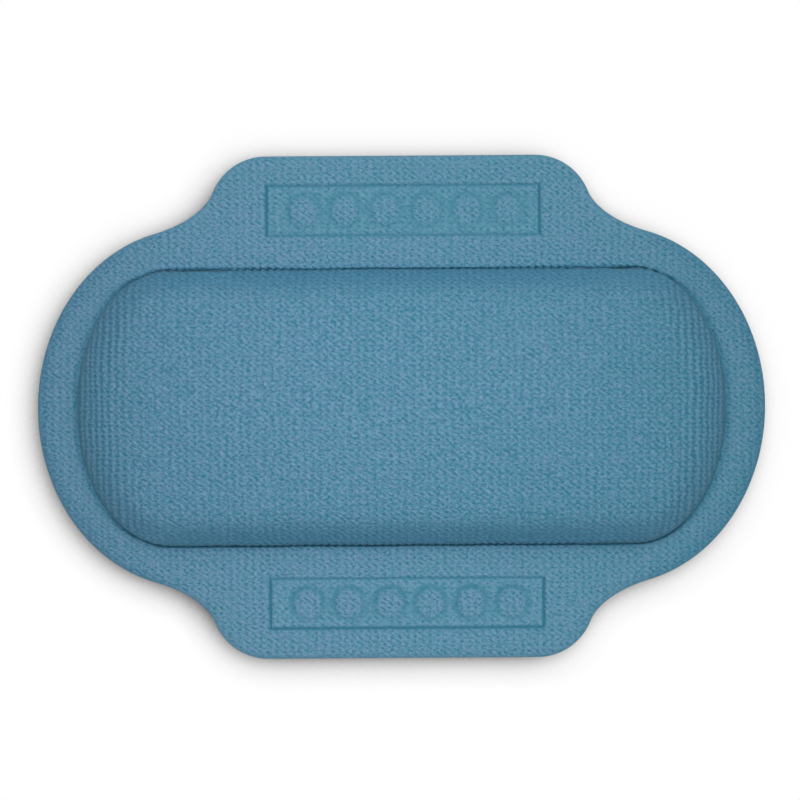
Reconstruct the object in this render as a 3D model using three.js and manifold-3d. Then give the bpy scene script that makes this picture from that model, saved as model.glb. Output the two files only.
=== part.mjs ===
// Bath pillow of embossed foam vinyl with two fold-over tabs that carry suction cups.
// Millimetres. The pillow lies on its cups with the embossed face up: X runs along its length, Y towards
// the upper tab and Z out of the face. Z is 0 at the cup rims.
import * as THREE from "three";
import { mergeVertices } from "three/addons/utils/BufferGeometryUtils.js";
import Module from "manifold-3d";

const wasm = await Module();
wasm.setup();

// Outline of the two welded sheets
const LENGTH = 330;
const WIDTH = 228;
const END_DEPTH = 70; // each end is half an ellipse, this deep along X
const END_HALF_WIDTH = 81.5;
const END_START = THREE.MathUtils.degToRad(76); // where the ellipse takes over from the shoulder
const TAB_STRAIGHT = 122; // straight outer edge of a tab
const TAB_CORNER_RADIUS = 26;
const TAB_CORNER_SWEEP = THREE.MathUtils.degToRad(68);
const SHOULDER_TAB_HANDLE = 9; // how far the shoulder curve keeps the direction of the tab corner
const SHOULDER_END_HANDLE = 13; // and of the end ellipse

// Sheets
const FRONT_SHEET = 3;
const BACK_SHEET = 2.5;
const FRONT_EDGE_WIDTH = 5; // rounding of the rim, across the sheet
const BACK_EDGE_WIDTH = 2;
const EDGE_LAND = 0.8; // square part of each rim at the weld
const GAP = 0.3; // between pieces that touch

// Domed pillow
const PILLOW_LENGTH = 294;
const PILLOW_WIDTH = 126;
const PILLOW_END_DEPTH = 42;
const PILLOW_RISE = 28; // crown above the face of the sheet
const PILLOW_RIDGE = 140; // length of the level line along the crown
const PILLOW_ROUNDING = 4; // power of the superellipse section: higher is boxier
const CROWN_SHARE = 0.92; // share of the half width where the section closes in a level cap

// Fold at each long side of the pillow
const FOLD_FORWARD = THREE.MathUtils.degToRad(40);
const FOLD_BACKWARD = THREE.MathUtils.degToRad(60);
const FOLD_WAIST = 0.2; // half width of the groove at the fold axis
const FOLD_MARGIN = 0.4; // sheet left between the groove and the dome

// Pressed frame on each tab, with the marks of the cup heads
const FRAME_INSET = 25; // frame centre from the outer edge of the tab
const FRAME_WIDTH = 23.8;
const FRAME_END = 15.75; // from the last cup to the end of the frame
const FRAME_LINE = 1.4;
const FRAME_LINE_DEPTH = 0.9;
const FIELD_DEPTH = 0.4; // pressed field inside the frame; the marks stay level with the sheet
const MARK_RADIUS = 6.8;

// Carrier strips and suction cups
const STRIP_THICKNESS = 1.5;
const STRIP_CORNER_RADIUS = 3;
const STRIP_MARGIN = 0.8; // strip edge inside the frame line
const CUP_COUNT = 6;
const CUP_RADIUS = 8.5;
const CUP_SPACING = 1.7; // between neighbouring rims
const CUP_STANDOFF = 5; // rim plane to the strip
const CUP_LIP = 0.5;
const CUP_RIM_WIDTH = 1; // flat part of the rim
const CUP_HOLLOW = 2.6;
const CUP_BOSS_RADIUS = 3.6;
const CUP_BOSS_HEIGHT = 0.6;
const NECK_RADIUS = 2.5;
const HEAD_RADIUS = 6.4;
const HEAD_THICKNESS = 1.2;
const HEAD_EDGE = 0.3;

// Facets
const OUTLINE_STEPS = 7;
const EDGE_STEPS = 3;
const PILLOW_STEPS = 11;
const PILLOW_RINGS = 9;
const RING_CROWDING = 2.2; // rings stand closer where the side is steep
const ROUND_STEPS = 16;
const CURVE_STEPS = 4;

// Levels from the cup rims up
const STRIP_TOP = CUP_STANDOFF + STRIP_THICKNESS;
const BACK_BOTTOM = STRIP_TOP + GAP;
const BACK_TOP = BACK_BOTTOM + BACK_SHEET;
const FRONT_BOTTOM = BACK_TOP + GAP;
const FRONT_TOP = FRONT_BOTTOM + FRONT_SHEET;
const FOLD_LEVEL = (BACK_TOP + FRONT_BOTTOM) / 2;

// Places that follow from the sizes above
const FOLD_FRONT_HALF = FOLD_WAIST + (FRONT_TOP - FOLD_LEVEL) * Math.tan(FOLD_FORWARD / 2);
const FOLD_LINE = PILLOW_WIDTH / 2 + FOLD_FRONT_HALF + FOLD_MARGIN;
const FRAME_CENTRE = WIDTH / 2 - FRAME_INSET;
const CUP_PITCH = 2 * CUP_RADIUS + CUP_SPACING;
const CUP_ROW = (CUP_COUNT - 1) * CUP_PITCH;
const FRAME_LENGTH = CUP_ROW + 2 * FRAME_END;
const REACH = LENGTH + WIDTH; // long enough to cut right through

const vinyl = { color: "#5b8ca7", roughness: 0.55, metalness: 0 };
const backing = { color: "#6a97ae", roughness: 0.6, metalness: 0 };
const foam = { color: "#e8e3d2", roughness: 0.95, metalness: 0 };
const clearVinyl = { color: "#cfdde3", roughness: 0.3, metalness: 0 };

// Turns a closed surface into a solid that can be cut and joined.
function solid(geometry) {
  const bare = new THREE.BufferGeometry();
  bare.setAttribute("position", geometry.getAttribute("position"));
  if (geometry.index) bare.setIndex(geometry.index);
  const welded = mergeVertices(bare, 1e-4);
  const corners = [];
  for (let i = 0; i < welded.index.count; i += 3) {
    const [a, b, c] = [0, 1, 2].map((k) => welded.index.getX(i + k));
    if (a !== b && b !== c && c !== a) corners.push(a, b, c);
  }
  return new wasm.Manifold(
    new wasm.Mesh({
      numProp: 3,
      vertProperties: new Float32Array(welded.getAttribute("position").array),
      triVerts: new Uint32Array(corners),
    }),
  );
}

function geometryOf(body) {
  const mesh = body.getMesh();
  const geometry = new THREE.BufferGeometry();
  geometry.setAttribute("position", new THREE.BufferAttribute(mesh.vertProperties, 3));
  geometry.setIndex(new THREE.BufferAttribute(mesh.triVerts, 1));
  geometry.computeVertexNormals();
  return geometry;
}

function piece(name, geometry, look) {
  const mesh = new THREE.Mesh(geometry, new THREE.MeshStandardMaterial(look));
  mesh.name = name;
  return mesh;
}

function block(low, high) {
  const size = new THREE.Vector3().subVectors(high, low);
  const centre = new THREE.Vector3().addVectors(low, high).multiplyScalar(0.5);
  return solid(new THREE.BoxGeometry(size.x, size.y, size.z).translate(centre.x, centre.y, centre.z));
}

// The shoulder between a tab corner and an end, as the four points of its curve in the quadrant given by
// the two signs.
function shoulder(signX, signY) {
  const turn = Math.PI / 2 - TAB_CORNER_SWEEP;
  const start = new THREE.Vector2(
    TAB_STRAIGHT / 2 + TAB_CORNER_RADIUS * Math.cos(turn),
    WIDTH / 2 - TAB_CORNER_RADIUS + TAB_CORNER_RADIUS * Math.sin(turn),
  );
  const along = new THREE.Vector2(Math.sin(turn), -Math.cos(turn)).multiplyScalar(SHOULDER_TAB_HANDLE);
  const end = new THREE.Vector2(
    LENGTH / 2 - END_DEPTH + END_DEPTH * Math.cos(END_START),
    END_HALF_WIDTH * Math.sin(END_START),
  );
  const back = new THREE.Vector2(-END_DEPTH * Math.sin(END_START), END_HALF_WIDTH * Math.cos(END_START))
    .setLength(SHOULDER_END_HANDLE);
  const points = [start, start.clone().add(along), end.clone().add(back), end];
  return points.map((p) => new THREE.Vector2(p.x * signX, p.y * signY));
}

function sheetOutline() {
  const shape = new THREE.Shape();
  const curve = ([, a, b, end]) => shape.bezierCurveTo(a.x, a.y, b.x, b.y, end.x, end.y);
  const corner = (x, y, from, to) => shape.absarc(x, y, TAB_CORNER_RADIUS, from, to, true);
  const tabX = TAB_STRAIGHT / 2;
  const tabY = WIDTH / 2 - TAB_CORNER_RADIUS;
  const endX = LENGTH / 2 - END_DEPTH;
  const turn = Math.PI / 2 - TAB_CORNER_SWEEP;
  shape.moveTo(-tabX, WIDTH / 2);
  shape.lineTo(tabX, WIDTH / 2);
  corner(tabX, tabY, Math.PI / 2, turn);
  curve(shoulder(1, 1));
  shape.absellipse(endX, 0, END_DEPTH, END_HALF_WIDTH, END_START, -END_START, true);
  curve(shoulder(1, -1).reverse());
  corner(tabX, -tabY, -turn, -Math.PI / 2);
  shape.lineTo(-tabX, -WIDTH / 2);
  corner(-tabX, -tabY, -Math.PI / 2, -Math.PI + turn);
  curve(shoulder(-1, -1));
  shape.absellipse(-endX, 0, END_DEPTH, END_HALF_WIDTH, Math.PI + END_START, Math.PI - END_START, true);
  curve(shoulder(-1, 1).reverse());
  corner(-tabX, tabY, Math.PI - turn, Math.PI / 2);
  return shape;
}

// One flat sheet with a rounded rim on its outer side and a square land at the weld. The sheet is half of
// a pad that is rounded on both sides. Its flat inner side lies at the given level.
function sheet(thickness, edgeWidth, level, faceUp) {
  const pad = new THREE.ExtrudeGeometry(sheetOutline(), {
    depth: 2 * EDGE_LAND,
    bevelEnabled: true,
    bevelThickness: thickness - EDGE_LAND,
    bevelSize: edgeWidth,
    bevelOffset: -edgeWidth,
    bevelSegments: EDGE_STEPS,
    curveSegments: OUTLINE_STEPS,
  }).translate(0, 0, level - EDGE_LAND);
  const low = new THREE.Vector3(-REACH, -REACH, faceUp ? level : level - 2 * thickness);
  const high = new THREE.Vector3(REACH, REACH, faceUp ? level + 2 * thickness : level);
  return solid(pad).intersect(block(low, high));
}

// The domed form: straight long sides, half-ellipse ends and a superellipse section, steep at its edge and
// almost level on the crown. It stands on level 0 with a straight skirt below.
function pillowForm(length, width, endDepth, height, skirt) {
  const straight = length / 2 - endDepth;
  const points = [];
  const corners = [];
  const addRing = (share, z) => {
    const middle = straight + share * (PILLOW_RIDGE / 2 - straight);
    const plan = new THREE.Shape();
    const [deep, half] = [endDepth * (1 - share), (width / 2) * (1 - share)];
    plan.absellipse(middle, 0, deep, half, -Math.PI / 2, Math.PI / 2, false);
    plan.absellipse(-middle, 0, deep, half, Math.PI / 2, 1.5 * Math.PI, false);
    const ring = plan.getPoints(PILLOW_STEPS);
    ring.forEach((p) => points.push(p.x, p.y, z));
    return ring.length;
  };
  const section = (share) => height * (1 - (1 - share) ** PILLOW_ROUNDING) ** (1 / PILLOW_ROUNDING);
  const count = addRing(0, -skirt);
  for (let i = 0; i <= PILLOW_RINGS; i++) {
    const share = CROWN_SHARE * (i / PILLOW_RINGS) ** RING_CROWDING;
    addRing(share, section(share));
  }
  for (let row = 0; row <= PILLOW_RINGS; row++) {
    for (let i = 0; i < count; i++) {
      const [a, b] = [row * count + i, row * count + ((i + 1) % count)];
      corners.push(a, b, b + count, a, b + count, a + count);
    }
  }
  const last = (PILLOW_RINGS + 1) * count;
  const bottom = points.length / 3;
  points.push(0, 0, -skirt, 0, 0, height);
  for (let i = 0; i < count; i++) {
    const next = (i + 1) % count;
    corners.push(bottom, next, i, bottom + 1, last + i, last + next);
  }
  const form = new THREE.BufferGeometry();
  form.setAttribute("position", new THREE.Float32BufferAttribute(points, 3));
  form.setIndex(corners);
  return form;
}

// The groove that lets a tab fold both ways without its edges meeting, along X at the fold line.
function foldGroove(side) {
  const above = FRONT_SHEET + 2 * GAP;
  const below = BACK_SHEET + 2 * GAP;
  const front = FOLD_WAIST + above * Math.tan(FOLD_FORWARD / 2);
  const back = FOLD_WAIST + below * Math.tan(FOLD_BACKWARD / 2);
  const section = new THREE.Shape([
    new THREE.Vector2(FOLD_WAIST, 0),
    new THREE.Vector2(front, above),
    new THREE.Vector2(-front, above),
    new THREE.Vector2(-FOLD_WAIST, 0),
    new THREE.Vector2(-back, -below),
    new THREE.Vector2(back, -below),
  ]);
  const groove = new THREE.ExtrudeGeometry(section, { depth: 2 * REACH, bevelEnabled: false });
  const upright = new THREE.Matrix4().makeBasis(
    new THREE.Vector3(0, 1, 0),
    new THREE.Vector3(0, 0, 1),
    new THREE.Vector3(1, 0, 0),
  );
  upright.setPosition(-REACH, side * FOLD_LINE, FOLD_LEVEL);
  return solid(groove.applyMatrix4(upright));
}

// The part of a cut sheet between two levels of Y.
function panel(body, from, to) {
  const low = new THREE.Vector3(-REACH, from, -REACH);
  const high = new THREE.Vector3(REACH, to, REACH);
  return body.intersect(block(low, high));
}

function rectangle(length, width, radius = 0) {
  const [x, y] = [length / 2, width / 2];
  const shape = new THREE.Shape();
  if (radius === 0) {
    return shape.moveTo(-x, -y).lineTo(x, -y).lineTo(x, y).lineTo(-x, y);
  }
  shape.absarc(x - radius, y - radius, radius, 0, Math.PI / 2, false);
  shape.absarc(-x + radius, y - radius, radius, Math.PI / 2, Math.PI, false);
  shape.absarc(-x + radius, -y + radius, radius, Math.PI, 1.5 * Math.PI, false);
  shape.absarc(x - radius, -y + radius, radius, 1.5 * Math.PI, 2 * Math.PI, false);
  return shape;
}

function cupPlace(index) {
  return -CUP_ROW / 2 + index * CUP_PITCH;
}

function cupHoles(radius) {
  return Array.from({ length: CUP_COUNT }, (_, i) =>
    new THREE.Path().absarc(cupPlace(i), 0, radius, 0, 2 * Math.PI, true),
  );
}

function prism(shape, bottom, top, steps = ROUND_STEPS / 2) {
  const options = { depth: top - bottom, bevelEnabled: false, curveSegments: steps };
  return new THREE.ExtrudeGeometry(shape, options).translate(0, FRAME_CENTRE, bottom);
}

// Front of a tab: the frame line is pressed deepest, the field inside it less, and the round marks not.
function pressedTab(body) {
  const line = rectangle(FRAME_LENGTH, FRAME_WIDTH);
  line.holes.push(rectangle(FRAME_LENGTH - 2 * FRAME_LINE, FRAME_WIDTH - 2 * FRAME_LINE));
  const field = rectangle(FRAME_LENGTH - FRAME_LINE, FRAME_WIDTH - FRAME_LINE);
  field.holes.push(...cupHoles(MARK_RADIUS));
  const above = FRONT_TOP + FRONT_SHEET;
  return body
    .subtract(solid(prism(line, FRONT_TOP - FRAME_LINE_DEPTH, above)))
    .subtract(solid(prism(field, FRONT_TOP - FIELD_DEPTH, above)));
}

// Back of a tab: a pocket over each cup head.
function pocketedTab(body) {
  let result = body;
  for (let i = 0; i < CUP_COUNT; i++) {
    const head = new THREE.Shape();
    head.absarc(cupPlace(i), 0, HEAD_RADIUS + GAP, 0, 2 * Math.PI, false);
    const depth = HEAD_THICKNESS + GAP;
    result = result.subtract(solid(prism(head, BACK_BOTTOM - BACK_SHEET, BACK_BOTTOM + depth)));
  }
  return result;
}

function carrierStrip() {
  const inset = 2 * (FRAME_LINE + STRIP_MARGIN);
  const shape = rectangle(FRAME_LENGTH - inset, FRAME_WIDTH - inset, STRIP_CORNER_RADIUS);
  shape.holes.push(...cupHoles(NECK_RADIUS + GAP));
  return prism(shape, CUP_STANDOFF, STRIP_TOP, ROUND_STEPS / 4);
}

// A suction cup in one turning: hollow, flat rim, flared skirt, boss under the strip, neck through it and a
// flat head above it.
function suctionCup() {
  const rim = CUP_RADIUS - CUP_RIM_WIDTH;
  const bossTop = CUP_STANDOFF - GAP;
  const bossFoot = bossTop - CUP_BOSS_HEIGHT;
  const headFoot = STRIP_TOP + GAP;
  const headTop = headFoot + HEAD_THICKNESS;
  const profile = new THREE.Path();
  profile.moveTo(0, CUP_HOLLOW);
  profile.quadraticCurveTo(0.62 * rim, CUP_HOLLOW, rim, 0);
  profile.lineTo(CUP_RADIUS, 0);
  profile.lineTo(CUP_RADIUS, CUP_LIP);
  profile.quadraticCurveTo(0.66 * CUP_RADIUS, 0.55 * bossFoot, CUP_BOSS_RADIUS, bossFoot);
  profile.lineTo(CUP_BOSS_RADIUS, bossTop);
  profile.lineTo(NECK_RADIUS, bossTop);
  profile.lineTo(NECK_RADIUS, headFoot);
  profile.lineTo(HEAD_RADIUS, headFoot);
  profile.lineTo(HEAD_RADIUS, headTop - HEAD_EDGE);
  profile.lineTo(HEAD_RADIUS - HEAD_EDGE, headTop);
  profile.lineTo(0, headTop);
  return new THREE.LatheGeometry(profile.getPoints(CURVE_STEPS), ROUND_STEPS).rotateX(Math.PI / 2);
}

const front = sheet(FRONT_SHEET, FRONT_EDGE_WIDTH, FRONT_BOTTOM, true)
  .subtract(foldGroove(1))
  .subtract(foldGroove(-1));
const back = sheet(BACK_SHEET, BACK_EDGE_WIDTH, BACK_TOP, false)
  .subtract(foldGroove(1))
  .subtract(foldGroove(-1));

// The dome stands on the sheet and is hollow from behind, with one wall thickness all over.
const domeHeight = FRONT_SHEET + PILLOW_RISE;
const dome = pillowForm(PILLOW_LENGTH, PILLOW_WIDTH, PILLOW_END_DEPTH, domeHeight, 0);
const hollow = pillowForm(
  PILLOW_LENGTH - 2 * FRONT_SHEET,
  PILLOW_WIDTH - 2 * FRONT_SHEET,
  PILLOW_END_DEPTH - FRONT_SHEET,
  domeHeight - FRONT_SHEET,
  FRONT_SHEET,
);
const inset = FRONT_SHEET + GAP;
const core = pillowForm(
  PILLOW_LENGTH - 2 * inset,
  PILLOW_WIDTH - 2 * inset,
  PILLOW_END_DEPTH - inset,
  domeHeight - inset,
  0,
);
const frontCentre = panel(front, -FOLD_LINE, FOLD_LINE)
  .add(solid(dome.translate(0, 0, FRONT_BOTTOM)))
  .subtract(solid(hollow.translate(0, 0, FRONT_BOTTOM)));

const pillow = new THREE.Group();
pillow.add(piece("front_cover_centre", geometryOf(frontCentre), vinyl));
pillow.add(piece("back_cover_centre", geometryOf(panel(back, -FOLD_LINE, FOLD_LINE)), backing));
pillow.add(piece("foam_core", core.translate(0, 0, FRONT_BOTTOM), foam));

// Both tabs are the same, the lower one turned half round.
const frontTab = geometryOf(pressedTab(panel(front, FOLD_LINE, REACH)));
const backTab = geometryOf(pocketedTab(panel(back, FOLD_LINE, REACH)));
for (const [side, turn] of [["upper", 0], ["lower", Math.PI]]) {
  const tab = new THREE.Group();
  tab.rotation.z = turn;
  tab.add(piece(`front_cover_${side}_tab`, frontTab, vinyl));
  tab.add(piece(`back_cover_${side}_tab`, backTab, backing));
  tab.add(piece(`${side}_carrier_strip`, carrierStrip(), clearVinyl));
  for (let i = 0; i < CUP_COUNT; i++) {
    const place = side === "upper" ? i : CUP_COUNT - 1 - i;
    const cup = piece(`${side}_cup_${i + 1}`, suctionCup(), clearVinyl);
    cup.position.set(cupPlace(place), FRAME_CENTRE, 0);
    tab.add(cup);
  }
  pillow.add(tab);
}

export default pillow;
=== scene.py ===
"""Bath pillow of embossed foam vinyl: a domed cushion between two fold-over tabs with suction cups."""

import math

import bmesh
import bpy
import numpy as np
from mathutils import Matrix, Vector, kdtree, noise


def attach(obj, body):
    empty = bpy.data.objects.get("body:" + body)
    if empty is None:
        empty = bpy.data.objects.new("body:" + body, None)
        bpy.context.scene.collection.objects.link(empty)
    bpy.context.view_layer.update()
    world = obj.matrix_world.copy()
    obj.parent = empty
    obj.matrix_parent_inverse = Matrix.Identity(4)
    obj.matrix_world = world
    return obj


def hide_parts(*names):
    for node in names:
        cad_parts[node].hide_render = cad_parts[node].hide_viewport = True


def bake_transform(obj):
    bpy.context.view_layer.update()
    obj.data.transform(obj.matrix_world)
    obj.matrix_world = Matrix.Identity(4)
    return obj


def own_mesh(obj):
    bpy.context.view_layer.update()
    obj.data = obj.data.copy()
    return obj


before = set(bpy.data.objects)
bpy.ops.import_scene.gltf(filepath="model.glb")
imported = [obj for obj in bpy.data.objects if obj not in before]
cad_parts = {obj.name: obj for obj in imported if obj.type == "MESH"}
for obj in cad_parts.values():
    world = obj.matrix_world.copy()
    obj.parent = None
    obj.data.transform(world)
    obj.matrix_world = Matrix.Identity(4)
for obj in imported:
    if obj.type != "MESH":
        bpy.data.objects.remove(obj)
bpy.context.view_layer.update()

MILLIMETRE = 0.001  # in metres, the unit of every mesh

# Sizes in millimetres, as in the solids
LENGTH = 330.0
WIDTH = 228.0
END_DEPTH = 70.0
END_HALF_WIDTH = 81.5
END_START = math.radians(76)
TAB_STRAIGHT = 122.0
TAB_CORNER_RADIUS = 26.0
TAB_CORNER_TURN = math.radians(22)
SHOULDER_TAB_HANDLE = 9.0
SHOULDER_END_HANDLE = 13.0
BACK_BOTTOM = 6.8
BACK_TOP = 9.3
FACE_BOTTOM = 9.6
FACE_TOP = 12.6
DOME_HALF_LENGTH = 147.0
DOME_HALF_WIDTH = 63.0
DOME_END_DEPTH = 42.0
DOME_RISE = 28.0
RIDGE_HALF_LENGTH = 70.0
RIM_ROUND = 5.0
RIM_DROP = 2.2
FOLD_LINE = 64.7465
FRAME_CENTRE = 89.0
FRAME_HALF_LENGTH = 62.5
FRAME_HALF_WIDTH = 11.9
LINE_INSET = 0.7
STRIP_HALF_LENGTH = 60.3
STRIP_HALF_WIDTH = 9.7
STRIP_CORNER = 3.0
STRIP_BOTTOM = 5.0
STRIP_THICKNESS = 1.5
NECK_HOLE_RADIUS = 2.8
CUP_PITCH = 18.7
CUP_PLACES = [CUP_PITCH * k for k in (-2.5, -1.5, -0.5, 0.5, 1.5, 2.5)]
SIDES = {"upper": 1, "lower": -1}

# Finer sizes in millimetres, of this scene alone
MIDDLE_REACH = 75.0
SCALLOP_PITCH = 3.46
UPPER_FRAME_SHIFT = 1.2
LOWER_FRAME_SHIFT = 2.0
MARK_SHIFT = 1.25
MARK_PITCH = 18.5
MARK_HALF_LENGTH = 6.75
MARK_HALF_WIDTH = 7.35
MARK_SQUARENESS = 2.3  # power of a mark's outline: 2 is an ellipse, and higher is boxier
STRIP_EDGE = 0.2
POCKET_RADIUS = 6.75
POCKET_DEPTH = 1.6
POCKET_SLOPE = 0.85
FOLD_GROOVE = 1.1
BACK_RIM_ROUND = 2.0
BACK_RIM_DROP = 1.7


# Shader maths

class Shade:
    """One output of a material's nodes. Sums and products of it add Math nodes."""

    def __init__(self, tree, socket=None):
        self.tree = tree
        self.socket = socket

    def node(self, kind, settings=None, sockets=None, output=0):
        """Adds a node of this type, with its settings first and then the values or links of its sockets."""
        made = self.tree.nodes.new("ShaderNode" + kind)
        for name, value in (settings or {}).items():
            setattr(made, name, value)
        for name, value in (sockets or {}).items():
            if isinstance(value, Shade):
                self.tree.links.new(value.socket, made.inputs[name])
            else:
                made.inputs[name].default_value = value
        return Shade(self.tree, made.outputs[output] if made.outputs else None)

    def output(self, name):
        """Another output of the same node."""
        return Shade(self.tree, self.socket.node.outputs[name])

    def math(self, operation, *values):
        return self.node("Math", {"operation": operation}, dict(enumerate(values)))

    def __add__(self, other):
        return self.math("ADD", self, other)

    def __radd__(self, other):
        return self.math("ADD", other, self)

    def __sub__(self, other):
        return self.math("SUBTRACT", self, other)

    def __rsub__(self, other):
        return self.math("SUBTRACT", other, self)

    def __mul__(self, other):
        return self.math("MULTIPLY", self, other)

    def cosine(self):
        return self.math("COSINE", self)

    def clamped(self):
        return self.node("Clamp", None, {0: self})

    def smooth(self, low, high):
        """0 below low and 1 above high, with an even rise between."""
        settings = {"interpolation_type": "SMOOTHSTEP"}
        return self.node("MapRange", settings, {"Value": self, "From Min": low, "From Max": high})

    def colour(self, first, second):
        """The first colour where this is 0 and the second where it is 1."""
        ends = [(*c, 1) if isinstance(c, tuple) else c for c in (first, second)]
        return self.node("Mix", {"data_type": "RGBA"}, {0: self, 6: ends[0], 7: ends[1]}, output=2)


def new_material(name):
    """An empty material, and the start of its shader maths."""
    material = bpy.data.materials.new(name)
    material.use_nodes = True
    material.node_tree.nodes.clear()
    return material, Shade(material.node_tree)


def finish_material(start, surface):
    start.node("OutputMaterial", None, {"Surface": surface})


def rest_places(start):
    """The piece's own places at rest in millimetres, so that the grain turns with a tab."""
    return start.node("Attribute", {"attribute_name": "rest"}, output=1)


# Waves of the embossed weave: cycles per millimetre along X and Y, height and start
WEAVE = [
    (0.2888, 0.0, 0.37, 0.0),
    (0.2800, 0.3395, 0.48, 0.6),
    (-0.3020, 0.3395, 0.26, 2.1),
    (0.0, 0.4564, 0.27, 1.1),
    (0.2756, 0.4564, 0.19, 4.0),
    (0.2646, 0.6856, 0.19, 2.9),
    (0.5776, 0.0, 0.08, 1.7),
]


def face_vinyl():
    """Embossed foam vinyl: a fine woven relief with painted sheen on its crests and painted shade in its
    hollows, and teal where it was pressed smooth.
    """
    material, start = new_material("face_vinyl")
    grain = start.node("Attribute", {"attribute_name": "grain"}, output=1)
    x, y = (start.node("SeparateXYZ", None, {0: grain}, output=k) for k in range(2))
    emboss, pressed, ribs, wall, flange_light_and_pale_marks, sheer, cool = (
        start.node("Attribute", {"attribute_name": name}, output=2)
        for name in ("emboss", "pressed", "ribs", "wall", "flange_light_and_pale_marks", "sheer", "cool")
    )

    def blotches(scale, detail=1.0):
        return start.node("TexNoise", None, {"Vector": grain, "Scale": scale, "Detail": detail}) - 0.5

    along = x + blotches(0.07) * 2.6 + blotches(0.31) * 1.2
    across = y + blotches(0.11) * 2.6 + blotches(0.27) * 1.2
    relief = (along * (2 * math.pi * WEAVE[0][0])).cosine() * ribs * 0.85
    relief = relief + (across * (2 * math.pi * WEAVE[3][1])).cosine() * ribs * 0.4
    for cycles_along, cycles_across, height, begin in WEAVE:
        turn = along * (2 * math.pi * cycles_along) + across * (2 * math.pi * cycles_across) + begin
        relief = relief + turn.cosine() * height
    slanted = start.node(
        "Mapping",
        None,
        {"Vector": grain, "Rotation": (0, 0, math.radians(45)), "Scale": (0.84, 1.16, 0.95)},
    )
    threads = start.node(
        "TexNoise",
        None,
        {"Vector": slanted, "Scale": 1.0, "Detail": 1.0, "Roughness": 0.45},
    )
    relief = (relief * (1.0 - sheer) + (threads - 0.5) * 6.4) * emboss
    # Painted light on the flanges comes in here too, with the marks' own paler tone
    # The relief sets the colour: pale crests are painted sheen and dark hollows are painted shade
    crest = (relief * 0.33 + flange_light_and_pale_marks * 0.11 + 0.47).clamped()
    greyer = crest.colour((0.062, 0.188, 0.320), (0.163, 0.320, 0.469))
    greener = crest.colour((0.023, 0.184, 0.275), (0.109, 0.304, 0.410))
    shaded_wall_colour = crest.colour((0.029, 0.175, 0.300), (0.103, 0.298, 0.446))
    tint = x * 0.0011 + blotches(0.018, 2.0) * 0.42 + blotches(0.5, 2.0) * 3.2 + cool + 0.5
    colour = tint.clamped().colour(greyer, greener)
    # Painted shade on the dome's steep walls: a darker, bluer copy of the vinyl
    colour = wall.colour(colour, shaded_wall_colour)
    # Teal of the pressed frame lines and rings, with painted shade in the crease and on the rings' upper left
    colour = pressed.colour(colour, (0.016, 0.178, 0.262))
    bump = start.node("Bump", None, {"Strength": 1.0, "Distance": 0.00009, "Height": relief})
    surface = start.node(
        "BsdfPrincipled",
        None,
        {
            "Base Color": colour,
            "Roughness": 0.62 - crest * 0.08,
            "Specular IOR Level": 0.22,
            "Sheen Weight": 0.05,
            "Sheen Roughness": 0.5,
            "Normal": bump,
        },
    )
    finish_material(start, surface)
    return material


def back_vinyl():
    """Plain back of the foam vinyl: a fine pebbled grain with faint flow marks from the roller."""
    material, start = new_material("back_vinyl")
    places = rest_places(start)
    pebbles = start.node("TexVoronoi", {"feature": "SMOOTH_F1"}, {"Vector": places, "Scale": 0.9})
    pores = start.node("TexNoise", None, {"Vector": places, "Scale": 2.4, "Detail": 2.0})
    flow = start.node("TexNoise", None, {"Vector": places, "Scale": 0.03, "Detail": 3.0})
    grain = pebbles * 0.7 + pores * 0.5
    colour = (flow * 1.4 - 0.2).clamped().colour((0.118, 0.268, 0.385), (0.140, 0.305, 0.425))
    colour = (pebbles * 0.5).clamped().colour(colour, (0.165, 0.325, 0.440))
    bump = start.node("Bump", None, {"Strength": 0.5, "Distance": 0.0002, "Height": grain})
    surface = start.node(
        "BsdfPrincipled",
        None,
        {
            "Base Color": colour,
            "Roughness": 0.66 + pores * 0.1,
            "Specular IOR Level": 0.3,
            "Normal": bump,
        },
    )
    finish_material(start, surface)
    return material


def core_foam():
    """Soft open-cell foam, cream, with round cells of about a millimetre, their pores darker with painted
    shade.
    """
    material, start = new_material("core_foam")
    places = rest_places(start)
    cells = start.node("TexVoronoi", None, {"Vector": places, "Scale": 0.85})
    age = start.node("TexNoise", None, {"Vector": places, "Scale": 0.025, "Detail": 3.0})
    wall = cells.smooth(0.15, 0.75)
    # Painted shade: the middle of each cell is darker
    colour = wall.colour((0.55, 0.50, 0.38), (0.84, 0.80, 0.69))
    colour = (age * 0.6).clamped().colour(colour, (0.80, 0.73, 0.56))
    bump = start.node("Bump", None, {"Strength": 0.9, "Distance": 0.0006, "Height": wall})
    surface = start.node(
        "BsdfPrincipled",
        None,
        {"Base Color": colour, "Roughness": 0.95, "Specular IOR Level": 0.15, "Normal": bump},
    )
    finish_material(start, surface)
    return material


def clear_vinyl():
    """Soft clear vinyl of the cups and strips: faintly blue, with mould lines and slight clouding."""
    material, start = new_material("clear_vinyl")
    places = start.node("TexCoord", output=3)
    cloud = start.node("TexNoise", None, {"Vector": places, "Scale": 160.0, "Detail": 3.0})
    scuffs = start.node("TexNoise", None, {"Vector": places, "Scale": 1500.0, "Detail": 2.0})
    colour = (cloud * 1.3 - 0.15).clamped().colour((0.60, 0.70, 0.76), (0.74, 0.82, 0.86))
    bump = start.node("Bump", None, {"Strength": 0.15, "Distance": 0.0001, "Height": scuffs})
    surface = start.node(
        "BsdfPrincipled",
        None,
        {
            "Base Color": colour,
            "Roughness": 0.16 + cloud * 0.16,
            "IOR": 1.52,
            "Transmission Weight": 0.55,
            "Normal": bump,
        },
    )
    finish_material(start, surface)
    return material


# Forms of the sheets and the dome

def rise(low, high, value):
    """0 below low and 1 above high, with an even rise between."""
    share = np.clip((value - low) / (high - low), 0, 1)
    return share * share * (3 - 2 * share)


def mix(first, second, share):
    return first + (second - first) * share


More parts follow.
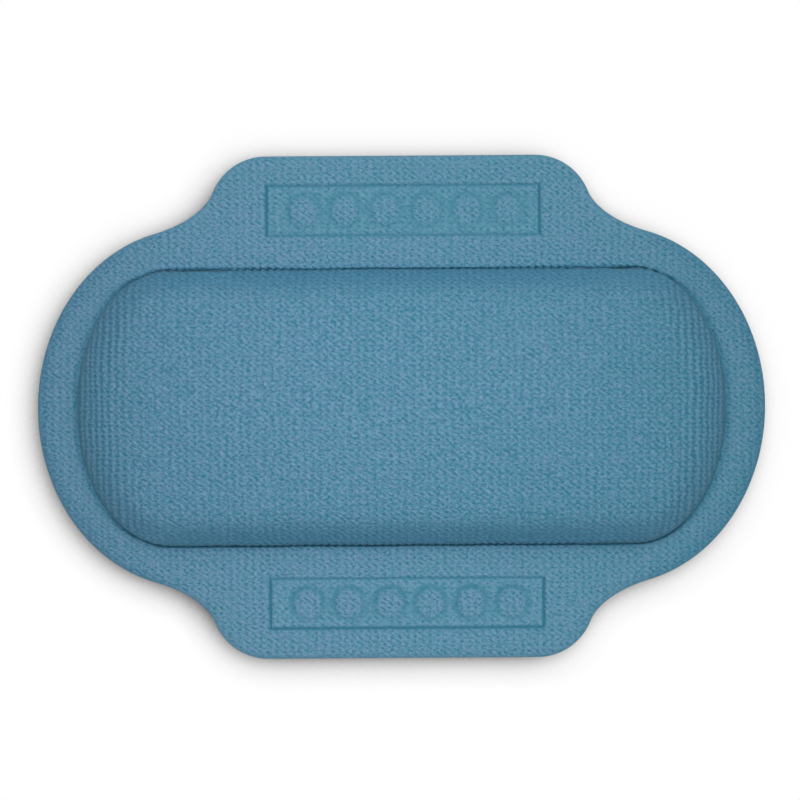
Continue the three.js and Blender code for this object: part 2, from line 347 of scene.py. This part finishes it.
def sheet_quarter():
    """Close points on the rim of the sheets in the first quadrant, from the tab's edge round to the end."""
    tab_x = TAB_STRAIGHT / 2
    tab_y = WIDTH / 2 - TAB_CORNER_RADIUS
    end_x = LENGTH / 2 - END_DEPTH
    turn = np.linspace(math.pi / 2, TAB_CORNER_TURN, 500)
    corner = np.stack([tab_x + TAB_CORNER_RADIUS * np.cos(turn), tab_y + TAB_CORNER_RADIUS * np.sin(turn)], 1)
    sweep = np.linspace(END_START, 0, 1800)
    end = np.stack([end_x + END_DEPTH * np.cos(sweep), END_HALF_WIDTH * np.sin(sweep)], 1)
    along = np.array([math.sin(TAB_CORNER_TURN), -math.cos(TAB_CORNER_TURN)]) * SHOULDER_TAB_HANDLE
    back = np.array([-END_DEPTH * math.sin(END_START), END_HALF_WIDTH * math.cos(END_START)])
    back = back / np.linalg.norm(back) * SHOULDER_END_HANDLE
    points = [corner[-1], corner[-1] + along, end[0] + back, end[0]]
    t = np.linspace(0, 1, 500)[:, None]
    weights = [(1 - t) ** 3, 3 * t * (1 - t) ** 2, 3 * t * t * (1 - t), t ** 3]
    shoulder = sum(w * p for w, p in zip(weights, points))
    return np.concatenate([corner, shoulder[1:-1], end])


def mirrored(points):
    """The points in all four quadrants."""
    return np.concatenate([points * sign for sign in ([1, 1], [-1, 1], [-1, -1], [1, -1])])


def nearest_distance(points):
    """A function of X and Y: how far each place is from the nearest of these points."""
    tree = kdtree.KDTree(len(points))
    for index, (px, py) in enumerate(points):
        tree.insert((px, py, 0), index)
    tree.balance()

    def distance(x, y):
        found = [tree.find((a, b, 0))[2] for a, b in zip(x.ravel(), y.ravel())]
        return np.array(found).reshape(x.shape)

    return distance


SHEET_QUARTER = sheet_quarter()
TOP_EDGE = np.stack([np.linspace(0, TAB_STRAIGHT / 2, 700), np.full(700, WIDTH / 2)], 1)
from_rim = nearest_distance(mirrored(np.concatenate([TOP_EDGE, SHEET_QUARTER])))

CREASE_STRAIGHT = DOME_HALF_LENGTH - DOME_END_DEPTH
crease_turn = np.linspace(math.pi / 2, 0, 1200)
crease_end = np.stack(
    [
        CREASE_STRAIGHT + DOME_END_DEPTH * np.cos(crease_turn),
        DOME_HALF_WIDTH * np.sin(crease_turn),
    ],
    1,
)
crease_side = np.stack([np.linspace(0, CREASE_STRAIGHT, 1400), np.full(1400, DOME_HALF_WIDTH)], 1)
from_crease = nearest_distance(mirrored(np.concatenate([crease_side, crease_end])))


def half_length(y):
    """Half the length of the sheet at each Y."""
    order = np.argsort(SHEET_QUARTER[:, 1])
    return np.interp(np.abs(y), SHEET_QUARTER[order, 1], SHEET_QUARTER[order, 0])


def inside_dome(x, y):
    over = np.maximum(np.abs(x) - CREASE_STRAIGHT, 0) / DOME_END_DEPTH
    return over ** 2 + (y / DOME_HALF_WIDTH) ** 2 < 1


def crown_share(x, y):
    """0 on the dome's ridge and 1 at its crease. Each level between is a smaller outline of the crease."""
    run = CREASE_STRAIGHT - RIDGE_HALF_LENGTH
    over = np.maximum(np.abs(x) - RIDGE_HALF_LENGTH, 0)
    side = np.abs(y) / DOME_HALF_WIDTH
    a = DOME_END_DEPTH ** 2 - run ** 2
    b = 2 * run * over
    c = over ** 2 + (DOME_END_DEPTH * side) ** 2
    end = (-b + np.sqrt(b * b + 4 * a * c)) / (2 * a)
    return np.clip(np.where(over > run * side, end, side), 0, 1)


def unevenness(x, y, size, seed):
    """A slow wander of about plus or minus 1, as moulded foam has."""
    places = zip(x.ravel() / size, y.ravel() / size)
    return np.array([noise.noise((a, b, seed)) for a, b in places]).reshape(x.shape) * 1.6


def frame_press(x, y):
    """How deep the tab's frame is pressed, and how smooth, teal, pale and cool that left the vinyl, with
    painted shade in the rings' teal at their upper left.
    """
    upper = y > 0
    firm = np.where(y < -FRAME_CENTRE, 1.25, 0.9)
    clear = np.where(upper, 0.85, 1.25)
    smear = np.where(upper, 0.3, 0.12)
    side = np.where(upper, 1, -1)
    x = x - np.where(upper, UPPER_FRAME_SHIFT, LOWER_FRAME_SHIFT)
    y = np.abs(y) - FRAME_CENTRE
    along = FRAME_HALF_LENGTH - np.abs(x)
    across = FRAME_HALF_WIDTH - np.abs(y)
    firm = np.where(along < across, 1.3, firm)
    inset = np.minimum(along, across)
    line = np.exp(-(((inset - LINE_INSET) / 0.6) ** 2)) * (inset > -2)
    field = rise(LINE_INSET, LINE_INSET + 1.0, inset)

    # Round marks: off is 1 on the outline of the nearest one
    number = np.clip(np.floor((x - MARK_SHIFT) / MARK_PITCH) + 0.5, -2.5, 2.5)
    beside = (x - MARK_SHIFT - MARK_PITCH * number) / MARK_HALF_LENGTH
    above = y * side / MARK_HALF_WIDTH
    off = (np.abs(beside) ** MARK_SQUARENESS + np.abs(above) ** MARK_SQUARENESS) ** (1 / MARK_SQUARENESS)
    off = off + 0.03 * unevenness(x, y, 4.5, 33.0)
    mark = (1 - rise(0.80, 0.98, off)) * field
    plain = field - mark
    between = plain * (np.abs(beside) < 1.4) * (1 - rise(0.8, 1.2, np.abs(above)))

    # Ring round each mark: deeper and darker teal at its upper left, where the darker teal is painted shade,
    # and smeared out towards the next mark
    lean = np.clip(1 + 0.3 * above - 0.14 * beside, 0.5, 1.5)
    inner = 0.15
    outer = inner + smear * (1 - np.clip(np.abs(above), 0, 1))
    ring = np.exp(-(((off - 1.0) / np.where(off > 1, outer, inner)) ** 2)) * field
    ring = ring * (0.85 + 0.25 * unevenness(x, y, 5.0, 51.0)) * clear * lean
    depth = 0.8 * firm * line + 0.3 * plain + 0.3 * ring
    smooth = np.clip(0.35 * plain + 0.8 * line + 0.35 * ring, 0, 1)
    teal = np.clip(0.75 * firm * line + 0.45 * ring, 0, 1)
    pale = 0.3 * mark + 0.15 * plain
    cool = np.where(upper, 0.42, 0.1) * plain + np.where(upper, 0.1, 0.25) * between
    cool = cool + np.where(upper, 0.12, -0.12) * mark
    return depth, smooth, teal, pale, cool


def face_top(x, y):
    """Height of the embossed face in millimetres, with the strengths that its vinyl reads."""
    rim = from_rim(x, y)
    edge = np.clip(1 - rim / RIM_ROUND, 0, 1)
    flange = FACE_TOP - RIM_DROP * (1 - np.sqrt(1 - edge ** 2))
    flange = flange + 0.18 * unevenness(x, y, 38.0, 3.0) * rise(0, 12, rim)

    # Crease: sharp and scalloped by the weave along the sides, wide and soft at the ends
    ends = rise(114.0, 137.0, np.abs(x))
    notch = 0.25 + 0.25 * rise(20.0, 75.0, np.abs(x)) * (y > 0)
    scallop = notch * np.cos(2 * math.pi * (x + y) / SCALLOP_PITCH) * (1 - ends)
    wander = 0.22 * unevenness(x, y * 0 + np.sign(y), 26.0, 8.0)
    inside = inside_dome(x, y)
    off = from_crease(x, y) * np.where(inside, 1, -1) + (scallop + wander - 0.65) * (1 - ends)
    depth = mix(2.7, 0.9, ends)
    groove = depth * np.exp(-((np.minimum(off, 0) / mix(0.45, 1.6, ends)) ** 2))

    # Dome: a sharp foot, a sloping wall that bends over, and a low crown
    d = np.maximum(off, 0)
    foot = mix(7.4, 6.0, ends)
    slope = mix(1.2, 1.1, ends)
    bend = 9.5
    width = mix(2.4, 3.0, ends)
    full = slope * width * np.logaddexp(0, bend / width)
    wall = full - slope * width * np.logaddexp(0, (bend - d) / width)
    crown = (DOME_RISE - foot - full) * (1 - crown_share(x, y) ** 2)
    base = mix(0.32, 0.9, ends)
    dome = FACE_TOP - depth + (depth + foot) * (1 - np.exp(-d / base)) + wall + crown
    dome = dome + 0.25 * unevenness(x, y, 55.0, 21.0) * rise(2, 25, d)
    height = np.where(off > 0, dome, flange - groove)
    press, smooth, teal, pale, cool = frame_press(x, y)
    height = height - press

    # Looks of the vinyl
    steep = rise(-3.0, 0.5, off) * (1 - rise(4.0, 13.0, off)) * (1 - ends)
    emboss = (1 - 0.6 * smooth) * (1 - 0.15 * steep) * mix(0.35, 1, rise(0, 3, rim))
    emboss = emboss * np.where(off > 0, 1.0, 1.1 + 0.3 * pale)
    # Painted shade in the crease: a dark teal band in its valley, wide and soft at the ends
    painted_crease_shade = mix(0.9 * np.exp(-(((off + 0.1) / 0.55) ** 2)), 0.5 * np.exp(-((off / 2.2) ** 2)), ends)
    # Painted light on the flanges at the ends, and painted shade on their rounded rim
    end_light_and_rim_shade = rise(95, 125, np.abs(x)) * (0.6 * rise(6, 10, rim) - 1.8 * (1 - rise(2.5, 7, rim)))
    return height, {
        "emboss": emboss,
        "pressed": np.clip(teal + painted_crease_shade, 0, 1),
        "ribs": rise(105, 128, np.abs(x)) * rise(0.5, 3, off) * (1 - rise(14, 24, off)),
        # Painted shade: how much of the darker, bluer colour the steep walls take
        "wall": 0.9 * steep + 0.5 * ends * rise(0, 2, off) * (1 - rise(8, 20, off)),
        # Painted light: flanges lighter than the dome, tabs more so away from the crease; marks paler in
        # their own tone
        "flange_light_and_pale_marks": np.where(off > 0, 0.0, 1.0 + 0.6 * rise(64, 74, np.abs(y)) + pale + end_light_and_rim_shade),
        "cool": cool + 0.15 * rise(100.0, 103.0, y),
        "sheer": 0.85 * rise(-0.4, 0.1, off) * (1 - rise(0.7, 1.6, off)) * (1 - ends),
    }


# Meshes

def graded(start, end, step_at):
    """Places from start to end, each step as long as step_at says there."""
    places = [start]
    while places[-1] < end:
        places.append(places[-1] + step_at(places[-1]))
    places = np.array(places)
    return start + (places - start) * (end - start) / (places[-1] - start)


def sheet_columns(fine):
    """Column places as (zone, share): 0 is the straight middle, 1 reaches to the crease and 2 to the rim."""
    def step_at(place):
        off_line = abs(place - FRAME_HALF_LENGTH + LINE_INSET)
        return fine * min(1.0, 0.45 + max(off_line - 2.0, 0) * 0.25)

    middle = graded(0, MIDDLE_REACH, step_at) / MIDDLE_REACH
    reach = 1 - (1 - np.linspace(0, 1, round(15 / fine))) ** 1.8
    t = np.linspace(0, 1, round(14 / fine))
    rim = 0.62 * (1 - np.cos(math.pi * t)) / 2 + 0.38 * t
    zones = [np.zeros(len(middle)), np.ones(len(reach) - 1), np.full(len(rim) - 1, 2.0)]
    shares = [middle, reach[1:], rim[1:]]
    return np.concatenate(zones), np.concatenate(shares)


def sheet_plan(rows, columns):
    """X and Y of a sheet's mesh: rows are straight, and columns follow the crease and the rim at the ends."""
    rim_room = 6.5
    past_dome = 0.466
    zone, share = columns
    y = np.array(rows)[:, None]
    reach = half_length(y)
    middle = np.minimum(MIDDLE_REACH, reach - rim_room)
    bulge = np.sqrt(np.clip(1 - (y / DOME_HALF_WIDTH) ** 2, 0, 1))
    by_dome = CREASE_STRAIGHT + DOME_END_DEPTH * bulge
    crease = np.where(np.abs(y) < DOME_HALF_WIDTH, by_dome, mix(middle, reach, past_dome))
    x = np.where(zone == 0, share * middle, mix(middle, crease, share))
    x = np.where(zone == 2, mix(crease, reach, share), x)
    x = np.concatenate([-x[:, :0:-1], x], 1)
    return x, np.broadcast_to(y, x.shape)


def crowded(place, wall_start, wall_width):
    """Places of the grain along one direction: its ribs stand closer on the steep sides of the dome."""
    over = np.clip(np.abs(place) - wall_start, 0, wall_width)
    return place + 0.22 * over * np.sign(place)


def shell(name, x, y, top, bottom, strengths=None):
    """A closed shell over a mapped grid: a grid is extruded once, and each point goes to its place."""
    rows, columns = x.shape
    mesh = bpy.data.meshes.new(name)
    bm = bmesh.new()
    bmesh.ops.create_grid(bm, x_segments=columns - 1, y_segments=rows - 1, size=1)
    made = bmesh.ops.extrude_face_region(bm, geom=bm.faces[:], use_keep_orig=True)
    lower = [v for v in made["geom"] if isinstance(v, bmesh.types.BMVert)]
    bmesh.ops.translate(bm, verts=lower, vec=(0, 0, -1))
    bmesh.ops.recalc_face_normals(bm, faces=bm.faces[:])
    for face in bm.faces:
        face.smooth = True
        levels = {round(v.co.z) for v in face.verts}
        if len(levels) > 1:
            for edge in face.edges:
                edge.smooth = False
    bm.to_mesh(mesh)
    bm.free()
    unit = np.empty(len(mesh.vertices) * 3)
    mesh.vertices.foreach_get("co", unit)
    unit = unit.reshape(-1, 3)
    column = np.rint((unit[:, 0] + 1) / 2 * (columns - 1)).astype(int)
    row = np.rint((unit[:, 1] + 1) / 2 * (rows - 1)).astype(int)
    is_top = unit[:, 2] > -0.5
    z = np.where(is_top, top[row, column], bottom[row, column])
    places = np.stack([x[row, column], y[row, column], z], 1)
    mesh.vertices.foreach_set("co", (places * MILLIMETRE).ravel())
    rest = mesh.attributes.new("rest", "FLOAT_VECTOR", "POINT")
    rest.data.foreach_set("vector", places.astype(np.float32).ravel())
    grain = mesh.attributes.new("grain", "FLOAT_VECTOR", "POINT")
    along = crowded(places[:, 0], wall_start=133.0, wall_width=14.0)
    across = crowded(places[:, 1], wall_start=51.0, wall_width=12.0)
    grain.data.foreach_set("vector", np.stack([along, across, z], 1).astype(np.float32).ravel())
    for label, values in (strengths or {}).items():
        layer = mesh.attributes.new(label, "FLOAT", "POINT")
        layer.data.foreach_set("value", np.where(is_top, values[row, column], 0).astype(np.float32))
    mesh.update()
    return new_object(name, mesh)


def new_object(name, mesh):
    made = bpy.data.objects.new(name, mesh)
    bpy.context.scene.collection.objects.link(made)
    return made


def dress(piece, material, slot, *nodes):
    """Gives a piece its material, and hides the solids that it stands for."""
    piece.data.materials.append(material)
    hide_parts(*nodes)


def mirrored_rows(half):
    """Rows over both sides from those on one side of the middle."""
    return np.concatenate([-half[:0:-1], half])


# Rows of the sheets along Y

def dome_step(place):
    return min(2.2, 0.24 + 0.068 * abs(DOME_HALF_WIDTH - place))


def tab_step(place):
    crease = 0.22 + 0.10 * (place - DOME_HALF_WIDTH)
    off_middle = abs(place - FRAME_CENTRE)
    off_line = abs(off_middle - FRAME_HALF_WIDTH + LINE_INSET)
    frame_zone = 0.26 + 0.16 * off_line if off_middle < 13.5 else 0.9
    marks = 0.56 if off_middle < 11 else 0.9
    rim = 0.05 + 0.16 * (WIDTH / 2 - place)
    return min(crease, frame_zone, marks, rim)


def tab_rows(start, step_at):
    return graded(start, WIDTH / 2, step_at)


def make_face(vinyl):
    """The embossed sheet with its dome: one skin in three pieces that meet in the creases."""
    cut = 63.2
    thickness = 3.0
    columns = sheet_columns(0.56)
    rows = {
        "dome_face": mirrored_rows(graded(0, cut, dome_step)),
        "upper_tab_face": tab_rows(cut, tab_step),
        "lower_tab_face": -tab_rows(cut, tab_step)[::-1],
    }
    for name, places in rows.items():
        x, y = sheet_plan(places, columns)
        top, strengths = face_top(x, y)
        inner = np.where(inside_dome(x, y), from_crease(x, y), 0)
        bottom = FACE_BOTTOM + (top - thickness - FACE_BOTTOM) * rise(2.6, 3.6, inner)
        piece = shell(name, x, y, top, bottom, strengths)
        side = name.split("_")[0]
        if side == "dome":
            dress(piece, vinyl, "front_vinyl", "front_cover_centre")
            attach(piece, "pillow")
        else:
            dress(piece, vinyl, "front_vinyl", f"front_cover_{side}_tab")
            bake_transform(piece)


def make_back(vinyl):
    """The plain back sheet in three pieces, rounded at its rim and creased where the tabs fold."""
    cut = 62.6
    columns = sheet_columns(1.1)

    def middle_step(place):
        return min(3.0, 0.5 + 0.1 * (cut - place))

    def side_step(place):
        rim = 0.08 + 0.2 * (WIDTH / 2 - place)
        return min(0.3 + 0.12 * abs(place - FOLD_LINE), rim, 0.8)

    rows = {
        "dome_back": mirrored_rows(graded(0, cut, middle_step)),
        "upper_tab_back": tab_rows(cut, side_step),
        "lower_tab_back": -tab_rows(cut, side_step)[::-1],
    }
    for name, places in rows.items():
        x, y = sheet_plan(places, columns)
        rim = from_rim(x, y)
        edge = np.clip(1 - rim / BACK_RIM_ROUND, 0, 1)
        bottom = BACK_BOTTOM + BACK_RIM_DROP * (1 - np.sqrt(1 - edge ** 2))
        bottom = bottom + FOLD_GROOVE * np.exp(-(((np.abs(y) - FOLD_LINE) / FOLD_GROOVE) ** 2))
        off = np.min([np.hypot(x - place, np.abs(y) - FRAME_CENTRE) for place in CUP_PLACES], axis=0)
        bottom = bottom + POCKET_DEPTH * (1 - rise(POCKET_RADIUS, POCKET_RADIUS + POCKET_SLOPE, off))
        top = np.full(x.shape, BACK_TOP)
        piece = shell(name, x, y, top, bottom)
        side = name.split("_")[0]
        if side == "dome":
            dress(piece, vinyl, "back_vinyl", "back_cover_centre")
            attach(piece, "pillow")
        else:
            dress(piece, vinyl, "back_vinyl", f"back_cover_{side}_tab")
            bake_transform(piece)


def make_core(foam):
    """The soft filling under the dome, a little smaller than the hollow of the face."""
    inset = 4.2
    below_face = 3.4
    straight = 0.71
    share = (DOME_HALF_WIDTH - inset) / DOME_HALF_WIDTH
    half = graded(0, 1, lambda place: 0.006 + 0.03 * (1 - place))
    rows = mirrored_rows(half) * DOME_HALF_WIDTH * share
    t = np.linspace(0, 1, 52)
    along = np.concatenate([straight * t[:-1], mix(straight, 1, 1 - (1 - t) ** 1.7)])
    along = mirrored_rows(along)
    y = np.broadcast_to(rows[:, None], (len(rows), len(along)))
    bulge = np.sqrt(np.clip(1 - (y / (DOME_HALF_WIDTH * share)) ** 2, 0, 1))
    reach = CREASE_STRAIGHT + (DOME_END_DEPTH - inset) * bulge
    x = along[None, :] * reach
    top = face_top(x, y)[0] - below_face
    bottom = np.full(x.shape, FACE_BOTTOM)
    piece = shell("dome_foam", x, y, top, bottom)
    dress(piece, foam, "core_foam", "foam_core")
    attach(piece, "pillow")


def make_strip(side, vinyl):
    """The carrier strip behind a tab: a rounded plate with a hole for the neck of each cup."""
    sign = SIDES[side]
    mesh = bpy.data.meshes.new(f"{side}_strip")
    bm = bmesh.new()
    plan = Matrix.Diagonal((STRIP_HALF_LENGTH * MILLIMETRE, STRIP_HALF_WIDTH * MILLIMETRE, 1, 1))
    bmesh.ops.create_grid(bm, x_segments=1, y_segments=1, size=1, matrix=plan)
    bmesh.ops.bevel(
        bm,
        geom=bm.verts[:],
        offset=STRIP_CORNER * MILLIMETRE,
        affect="VERTICES",
        segments=8,
        profile=0.5,
        material=-1,
    )
    bmesh.ops.delete(bm, geom=bm.faces[:], context="FACES_ONLY")
    for place in CUP_PLACES:
        hole = Matrix.Translation((place * MILLIMETRE, 0, 0))
        bmesh.ops.create_circle(bm, segments=28, radius=NECK_HOLE_RADIUS * MILLIMETRE, matrix=hole)
    bmesh.ops.triangle_fill(bm, edges=bm.edges[:], use_beauty=True)
    made = bmesh.ops.extrude_face_region(bm, geom=bm.faces[:], use_keep_orig=True)
    upper = [v for v in made["geom"] if isinstance(v, bmesh.types.BMVert)]
    bmesh.ops.translate(bm, verts=upper, vec=(0, 0, STRIP_THICKNESS * MILLIMETRE))
    bmesh.ops.recalc_face_normals(bm, faces=bm.faces[:])
    corners = [e for e in bm.edges if len(e.link_faces) == 2 and e.calc_face_angle() > math.radians(60)]
    bmesh.ops.bevel(
        bm,
        geom=corners,
        offset=STRIP_EDGE * MILLIMETRE,
        affect="EDGES",
        segments=2,
        profile=0.5,
        material=-1,
    )
    place = (0, sign * FRAME_CENTRE * MILLIMETRE, STRIP_BOTTOM * MILLIMETRE)
    bmesh.ops.translate(bm, verts=bm.verts[:], vec=place)
    bm.to_mesh(mesh)
    bm.free()
    piece = new_object(f"{side}_strip", mesh)
    dress(piece, vinyl, "clear_vinyl", f"{side}_carrier_strip")
    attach(piece, f"{side}_tab")


def bowed(start, bend, end, steps=9):
    """Points of a curve that leaves start towards bend and comes into end from it."""
    found = []
    for k in range(steps + 1):
        t = k / steps
        weights = ((1 - t) ** 2, 2 * t * (1 - t), t * t)
        found.append(tuple(sum(w * p[i] for w, p in zip(weights, (start, bend, end))) for i in (0, 1)))
    return found


def turned(name, profile, place):
    """A piece turned from its section, given as radius and height in millimetres, about a cup's axis."""
    mesh = bpy.data.meshes.new(name)
    bm = bmesh.new()
    points = [bm.verts.new((radius * MILLIMETRE, 0, height * MILLIMETRE)) for radius, height in profile]
    edges = [bm.edges.new(pair) for pair in zip(points, points[1:])]
    bmesh.ops.spin(
        bm,
        geom=points + edges,
        cent=(0, 0, 0),
        axis=(0, 0, 1),
        angle=2 * math.pi,
        steps=40,
        use_merge=True,
    )
    bmesh.ops.remove_doubles(bm, verts=bm.verts[:], dist=1e-6)
    bmesh.ops.recalc_face_normals(bm, faces=bm.faces[:])
    for face in bm.faces:
        face.smooth = True
    for edge in bm.edges:
        edge.smooth = len(edge.link_faces) != 2 or edge.calc_face_angle() < math.radians(40)
    bmesh.ops.translate(bm, verts=bm.verts[:], vec=(place[0] * MILLIMETRE, place[1] * MILLIMETRE, 0))
    bm.to_mesh(mesh)
    bm.free()
    return new_object(name, mesh)


# Sections of a cup's soft skirt and of its stud: radius and height in millimetres
SKIRT = [
    *bowed((0, 2.6), (4.65, 2.6), (7.5, 0.05)),
    (7.6, 0),
    (8.4, 0),
    (8.5, 0.1),
    (8.5, 0.4),
    *bowed((8.42, 0.52), (5.6, 2.25), (3.7, 4.0)),
    (3.6, 4.2),
    (3.6, 4.6),
    (3.5, 4.7),
    (0, 4.7),
]
STUD = [
    (0, 4.72),
    (2.5, 4.72),
    (2.5, 6.6),
    (2.7, 6.8),
    (6.3, 6.8),
    (6.4, 6.9),
    (6.4, 7.7),
    (6.3, 7.9),
    (6.1, 8.0),
    (0, 8.0),
]


def make_cups(side, vinyl):
    """Six suction cups: each skirt has a mesh of its own and goes with its suction body, and its stud stays
    in the strip.
    """
    for index, along in enumerate(CUP_PLACES, 1):
        place = (along, SIDES[side] * FRAME_CENTRE)
        node = f"{side}_cup_{index}"
        stud = turned(f"{side}_stud_{index}", STUD, place)
        dress(stud, vinyl, "clear_vinyl", node)
        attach(stud, f"{side}_tab")
        skirt = turned(f"{side}_skirt_{index}", SKIRT, place)
        dress(skirt, vinyl, "clear_vinyl", node)
        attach(skirt, f"{side}_suction_{index}")
        anchor = (place[0] * MILLIMETRE, place[1] * MILLIMETRE, 0)
        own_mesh(skirt)


# Floor, light and camera

def rays_seen(start):
    """1 for the rays that show the floor and the sky to the camera, by mirror and through glass too."""
    path = start.node("LightPath")
    seen = start.math("MAXIMUM", path.output("Is Camera Ray"), path.output("Is Glossy Ray"))
    return start.math("MAXIMUM", seen, path.output("Is Transmission Ray"))


def make_floor():
    """A wide white floor that keeps the pillow's soft shadow, and shows a tab that folds down through it."""
    material, start = new_material("pale_floor")
    lean = start.node("VectorMath", {"operation": "NORMALIZE"}, {0: (0.42, 0.3, 1.0)})
    sky = start.node("AmbientOcclusion", {"samples": 16}, {"Distance": 0.019, "Normal": lean}, output="AO")
    shown = start.node("BsdfTransparent", None, {"Color": sky.smooth(0.36, 1.0) * 0.94 + 0.06})
    clear = start.node("BsdfTransparent", None, {"Color": (1, 1, 1, 1)})
    bounce = start.node("BsdfDiffuse", None, {"Color": (0.6, 0.6, 0.6, 1)})
    surface = start.node("MixShader", None, {0: rays_seen(start), 1: bounce, 2: shown})
    shadow = start.node("LightPath").output("Is Shadow Ray")
    finish_material(start, start.node("MixShader", None, {0: shadow, 1: surface, 2: clear}))
    mesh = bpy.data.meshes.new("floor")
    bm = bmesh.new()
    bmesh.ops.create_grid(bm, x_segments=1, y_segments=1, size=4.0)
    bm.to_mesh(mesh)
    bm.free()
    mesh.materials.append(material)
    floor = new_object("floor", mesh)
    floor.location.z = -0.0003


def add_lamp(name, size, spread, power, place):
    """A rectangular soft lamp turned to the pillow, which doesn't show itself to the camera."""
    lamp = bpy.data.lights.new(name, "AREA")
    lamp.shape = "RECTANGLE"
    lamp.size, lamp.size_y = size
    lamp.spread = math.radians(spread)
    lamp.energy = power
    holder = bpy.data.objects.new(name, lamp)
    bpy.context.scene.collection.objects.link(holder)
    holder.location = place
    aim = Vector((0, -0.03, 0.012)) - holder.location
    holder.rotation_euler = aim.to_track_quat("-Z", "Y").to_euler()
    holder.visible_camera = False


def make_light():
    """Soft studio light: an even fill, a long lamp above the middle and a wide one to the upper right."""
    world = bpy.data.worlds.new("studio")
    bpy.context.scene.world = world
    world.use_nodes = True
    world.node_tree.nodes.clear()
    start = Shade(world.node_tree)
    seen = rays_seen(start)
    way = start.node("TexCoord")
    above = start.math("GREATER_THAN", start.node("SeparateXYZ", None, {0: way}, output=2), 0.0)
    fill = above * 0.27
    sky = start.node("Background", None, {"Color": (1, 1, 1, 1), "Strength": seen * (1.0 - fill) + fill})
    start.node("OutputWorld", None, {"Surface": sky})
    add_lamp("long_lamp", size=(0.16, 0.8), spread=50, power=0.81, place=(-0.01, 0.10, 1.05))
    add_lamp("wide_lamp", size=(1.8, 1.8), spread=180, power=6.5, place=(0.6, 0.84, 1.7))


def make_camera():
    """Straight above the pillow, with the tabs up and down in the picture and a very slight lean."""
    camera = bpy.data.cameras.new("camera")
    camera.lens = 100
    camera.sensor_width = 36
    camera.clip_end = 20
    holder = bpy.data.objects.new("camera", camera)
    bpy.context.scene.collection.objects.link(holder)
    holder.location = (-0.00068, 0.00308, 1.0190)
    holder.rotation_euler = (0, 0, math.radians(-0.38))
    bpy.context.scene.camera = holder


make_camera()
make_floor()
make_light()
make_face(face_vinyl())
make_back(back_vinyl())
make_core(core_foam())
soft_clear = clear_vinyl()
for tab in SIDES:
    make_strip(tab, soft_clear)
    make_cups(tab, soft_clear)
bpy.context.scene.view_settings.view_transform = "Standard"
